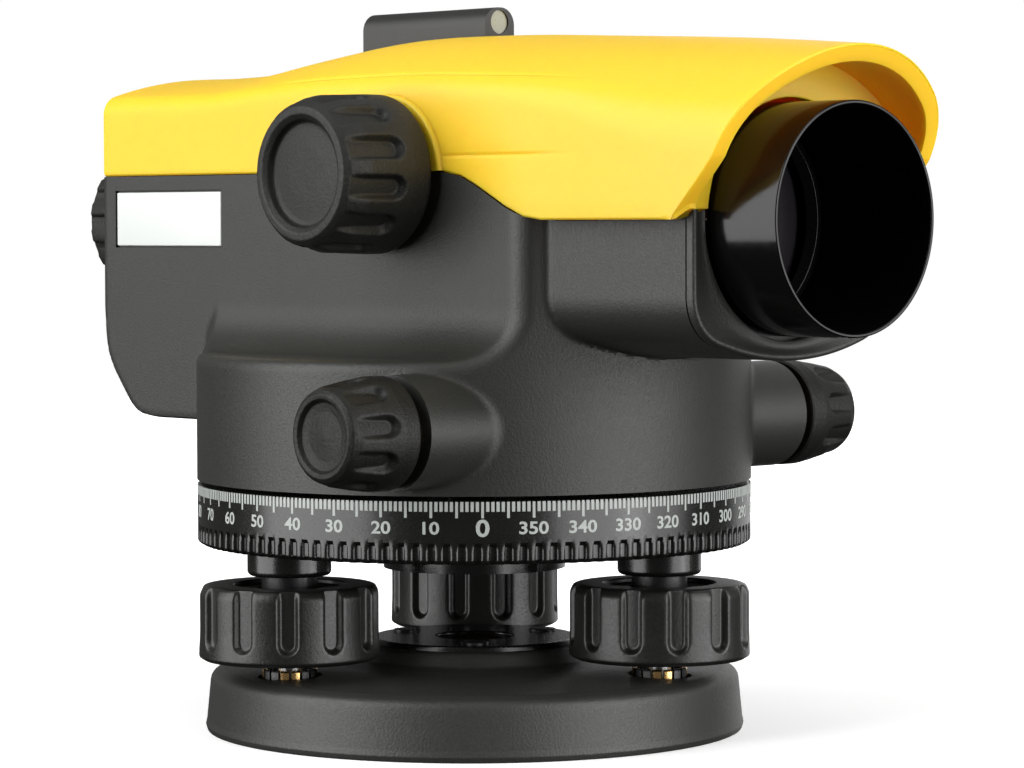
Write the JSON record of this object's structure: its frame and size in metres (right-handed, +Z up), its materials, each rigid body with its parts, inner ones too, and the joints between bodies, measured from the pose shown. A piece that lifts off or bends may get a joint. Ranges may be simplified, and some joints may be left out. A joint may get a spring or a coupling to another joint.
{
  "type": "automatic level",
  "caption": "Builder's automatic level: telescope with sun hood, side focusing knob, slow-motion drive and graduated circle on a three-screw levelling base.",
  "frame": {"origin": "on the vertical axis at the underside of the base plate, at the mouth of the tripod thread", "axes": "+Z up along the vertical axis, +X along the line of sight towards the objective"},
  "size_m": [0.2076, 0.1332, 0.1401],
  "materials": {
    "base_grey": "fine textured satin",
    "housing_grey": "fine grained matte",
    "black_satin": "satin",
    "black_gloss": "gloss",
    "yellow_cover": "smooth satin",
    "sight_grey": "satin",
    "label_white": "smooth",
    "knob_black": "matte",
    "foot_black": "satin",
    "brass": "machined",
    "steel": "ground",
    "aluminium": "anodised",
    "clear_glass": "polished",
    "coated_glass": "coated",
    "vial_glass": "clear",
    "mirror": "polished"
  },
  "bodies": {
    "base": {"base_plate": "base_grey", "tripod_thread_insert": "brass", "foot_seats": "steel", "retaining_plate": "black_gloss", "retaining_plate_screws": "steel", "foot_collars": "brass"},
    "head": {"head_plate": "black_satin", "foot_bushes": "brass", "axis_bush": "steel"},
    "foot_a": {"foot_knob_a": "foot_black", "foot_spindle_a": "steel"},
    "foot_b": {"foot_knob_b": "foot_black", "foot_spindle_b": "steel"},
    "foot_c_lift": {"foot_ball_c": "steel"},
    "foot_c": {"foot_knob_c": "foot_black", "foot_spindle_c": "steel"},
    "circle": {"circle_ring": "black_satin"},
    "wheel": {"worm_wheel": "brass"},
    "alidade": {"housing": "housing_grey", "barrel": "housing_grey", "front_frame": "housing_grey", "objective_tube": "black_gloss", "drum_floor": "black_satin", "axis_spindle": "steel", "top_cover": "yellow_cover", "sight_body": "sight_grey", "sight_windows": "clear_glass", "label_plate": "label_white", "body_screws": "steel", "objective_lens": "coated_glass", "objective_retainer": "black_satin", "guide_rods": "steel", "compensator_frame": "aluminium", "fixed_prisms": "clear_glass", "damping_magnets": "steel", "eyepiece_sleeve": "black_satin", "reticle": "clear_glass", "reticle_cell": "brass", "reticle_screws": "steel", "shaft_bushes": "brass", "level_bracket": "housing_grey", "level_cup": "black_satin", "level_vial": "vial_glass", "level_screws": "steel", "level_mirror_arm": "housing_grey", "level_mirror": "mirror"},
    "drive": {"drive_shaft": "steel", "drive_knob_near": "knob_black", "drive_knob_far": "knob_black"},
    "focus": {"focus_knob": "knob_black", "focus_shaft": "steel"},
    "focus_slide": {"focus_carriage": "aluminium", "focus_rack": "brass", "focus_lens": "clear_glass"},
    "eyepiece": {"eyepiece_ring": "knob_black"},
    "eyepiece_slide": {"eyepiece_cell": "black_satin", "eyepiece_lens": "clear_glass"},
    "compensator": {"pendulum": "brass", "pendulum_prism": "clear_glass", "pendulum_tapes": "steel"}
  },
  "joints": [
    {"name": "head_tilt", "type": "hinge", "parent": "base", "child": "head", "pos_m": [0.00444, 0.01986, 0.0085], "axis": [-0.9759, 0.2181, 0], "range_deg": [-1.5, 1.5]},
    {"name": "foot_a_turn", "type": "hinge", "parent": "head", "child": "foot_a", "pos_m": [0.03884, 0.01217, 0.023], "axis": [0, 0, 1], "range_deg": [-720, 720]},
    {"name": "foot_b_turn", "type": "hinge", "parent": "head", "child": "foot_b", "pos_m": [-0.02996, 0.02755, 0.023], "axis": [0, 0, 1], "range_deg": [-720, 720]},
    {"name": "foot_c_lift", "type": "slide", "parent": "head", "child": "foot_c_lift", "axis": [0, 0, 1], "range_m": [-0.00162, 0.00162]},
    {"name": "foot_c_turn", "type": "hinge", "parent": "foot_c_lift", "child": "foot_c", "pos_m": [-0.00888, -0.03972, 0.023], "axis": [0, 0, 1], "range_deg": [-721, 721]},
    {"name": "circle_turn", "type": "hinge", "parent": "head", "child": "circle", "pos_m": [0, 0, 0.042], "axis": [0, 0, 1], "continuous": true},
    {"name": "alidade_swing", "type": "hinge", "parent": "head", "child": "wheel", "pos_m": [0, 0, 0.0598], "axis": [0, 0, 1], "continuous": true},
    {"name": "alidade_fine", "type": "hinge", "parent": "wheel", "child": "alidade", "pos_m": [0, 0, 0.0598], "axis": [0, 0, 1], "continuous": true},
    {"name": "drive_turn", "type": "hinge", "parent": "alidade", "child": "drive", "pos_m": [0.0323, 0, 0.0607], "axis": [0, 1, 0], "continuous": true},
    {"name": "focus_turn", "type": "hinge", "parent": "alidade", "child": "focus", "pos_m": [0.0092, -0.042, 0.1076], "axis": [0, -1, 0], "range_deg": [-180, 180]},
    {"name": "focus_slide", "type": "slide", "parent": "alidade", "child": "focus_slide", "axis": [1, 0, 0], "range_m": [-0.0075, 0.0075]},
    {"name": "eyepiece_turn", "type": "hinge", "parent": "alidade", "child": "eyepiece", "pos_m": [-0.095, 0, 0.099], "axis": [-1, 0, 0], "range_deg": [-150, 150]},
    {"name": "eyepiece_slide", "type": "slide", "parent": "alidade", "child": "eyepiece_slide", "axis": [-1, 0, 0], "range_m": [-0.00209, 0.00209]},
    {"name": "compensator_swing", "type": "hinge", "parent": "alidade", "child": "compensator", "pos_m": [-0.036, 0, 0.1175], "axis": [0, 1, 0], "range_deg": [-0.35, 0.35]}
  ],
  "couplings": [
    {"joint": "foot_c_lift", "follows": "head_tilt", "m_per_rad": -0.06105},
    {"joint": "foot_c_turn", "follows": "head_tilt", "ratio": -479.49},
    {"joint": "drive_turn", "follows": "alidade_fine", "ratio": 72},
    {"joint": "focus_turn", "follows": "focus_slide", "rad_per_m": 416.67},
    {"joint": "eyepiece_turn", "follows": "eyepiece_slide", "rad_per_m": 1250}
  ]
}
